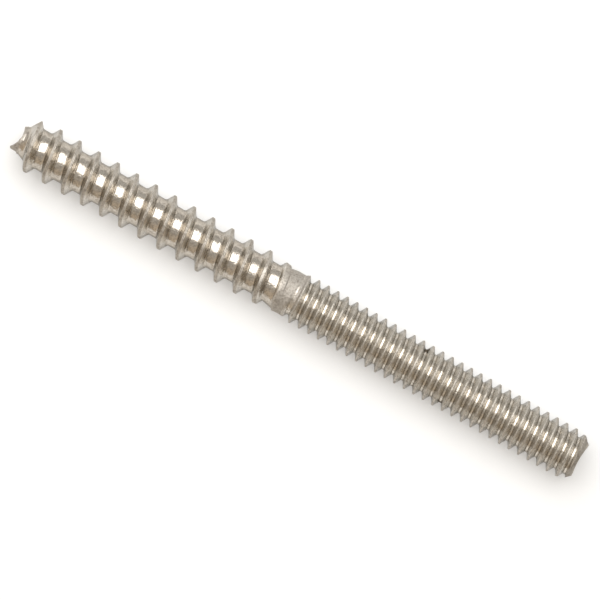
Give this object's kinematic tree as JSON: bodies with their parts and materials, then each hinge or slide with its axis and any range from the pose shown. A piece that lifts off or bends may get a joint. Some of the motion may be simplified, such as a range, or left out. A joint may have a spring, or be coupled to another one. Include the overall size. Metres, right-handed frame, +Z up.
{
  "type": "hanger bolt",
  "caption": "Headless double-ended fastener: coarse wood thread with a blunt tapered tip, short plain shank and fine machine thread with a chamfered end, for fixing a nut to timber.",
  "frame": {"origin": "on the ground under the middle of the bolt's length, with the bolt lying on its side", "axes": "+X along the bolt from the wood tip to the machine end, +Z up"},
  "size_m": [0.075, 0.0064, 0.0063],
  "materials": {
    "rolled_steel": "bright rolled stainless steel, a little warm in tone, matt on the plain shank and on the cropped tip"
  },
  "bodies": {
    "root": {"hanger_bolt": "rolled_steel"}
  },
  "joints": []
}
